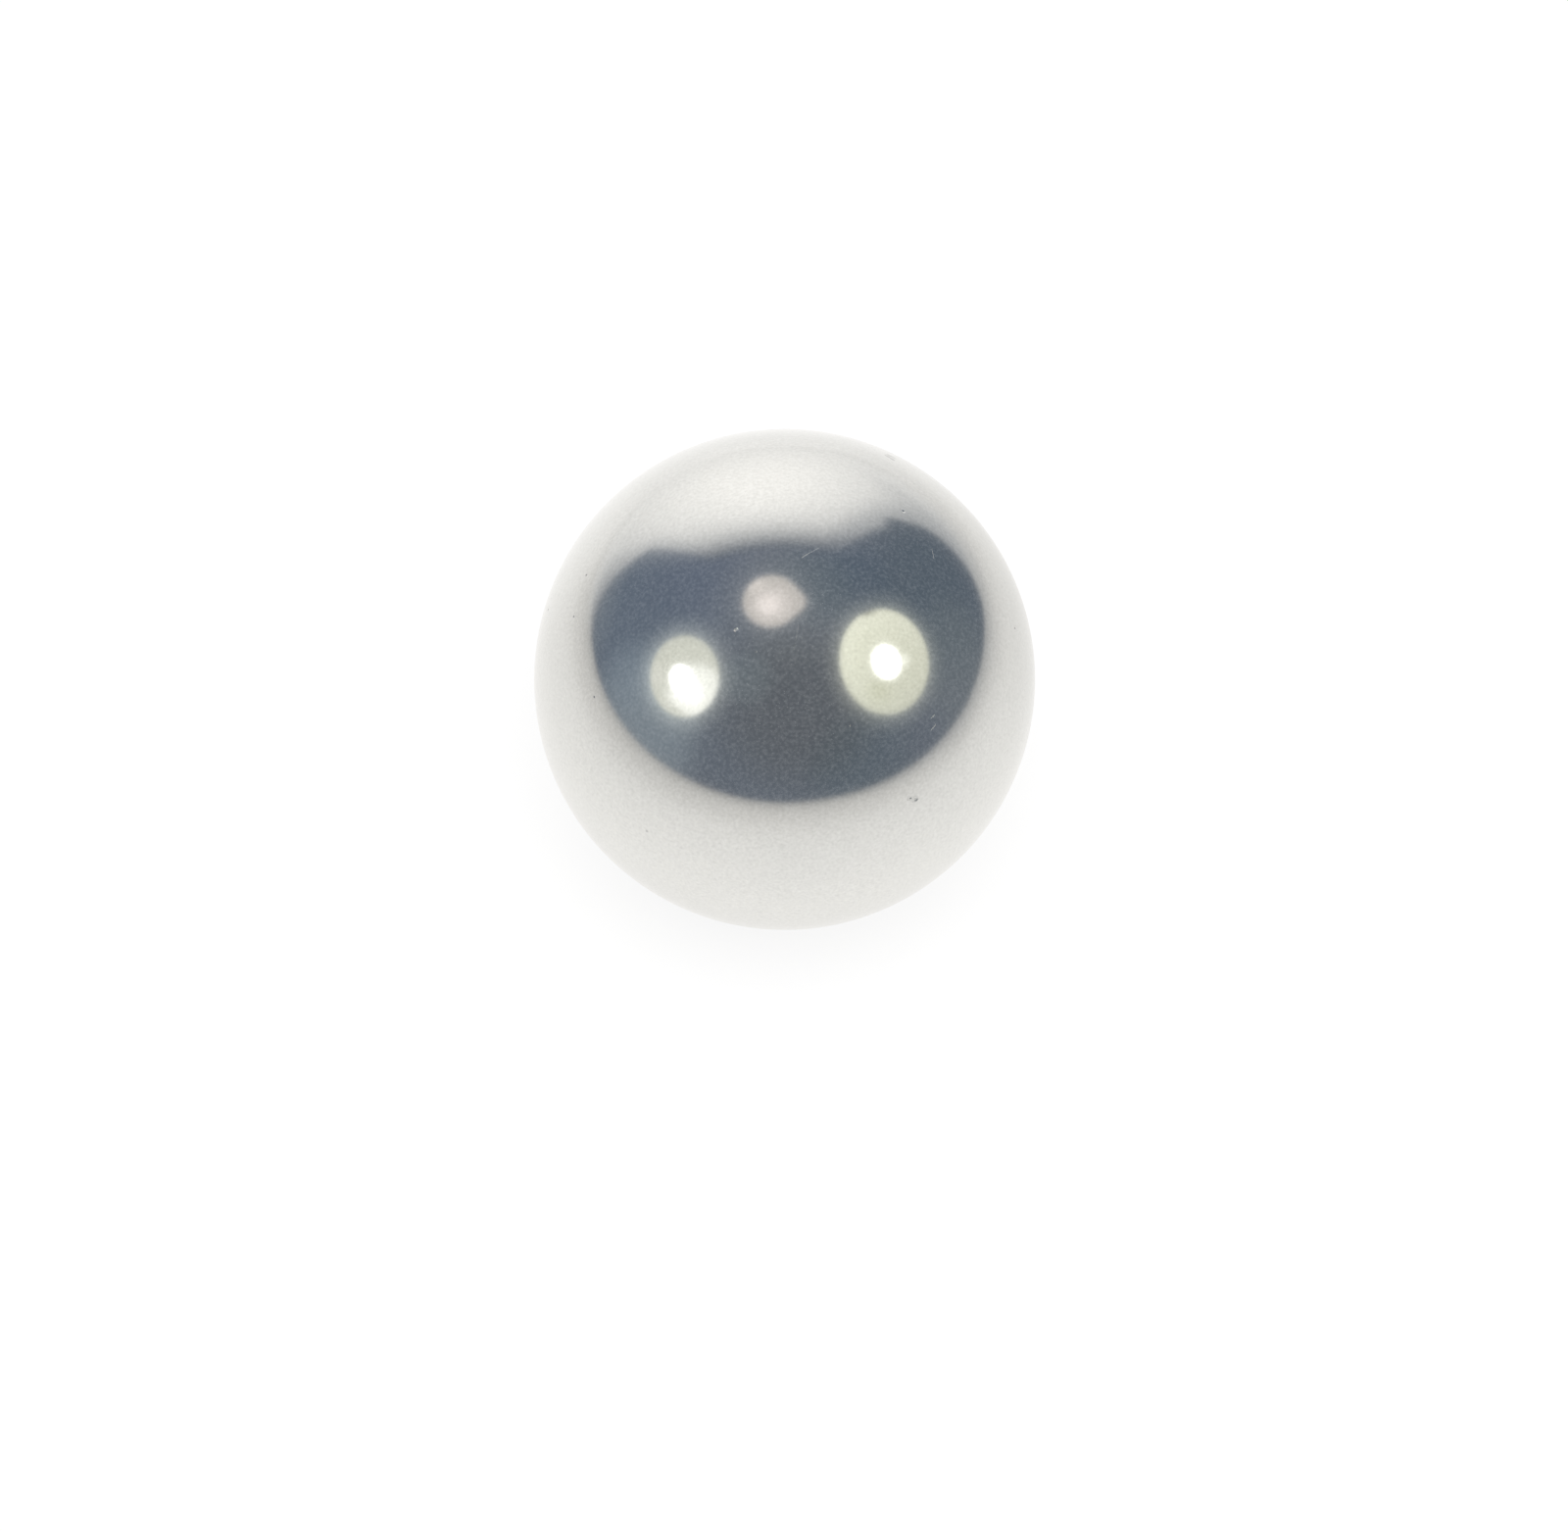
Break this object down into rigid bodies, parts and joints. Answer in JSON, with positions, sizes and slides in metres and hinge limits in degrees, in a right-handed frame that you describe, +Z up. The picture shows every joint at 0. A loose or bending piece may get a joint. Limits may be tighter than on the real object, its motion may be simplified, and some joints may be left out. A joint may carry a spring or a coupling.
{
  "type": "steel ball",
  "caption": "Solid round ball of polished hardened steel with a mirror finish and a few shallow wear dents.",
  "frame": {"origin": "centre of the ball", "axes": "+Z up through the centre, -Y towards the front; the ball is the same about every axis, so the axes are set only by where its dents lie"},
  "size_m": [0.0254, 0.0254, 0.0254],
  "materials": {
    "polished_steel": "polished"
  },
  "bodies": {
    "root": {"ball": "polished_steel"}
  },
  "joints": []
}
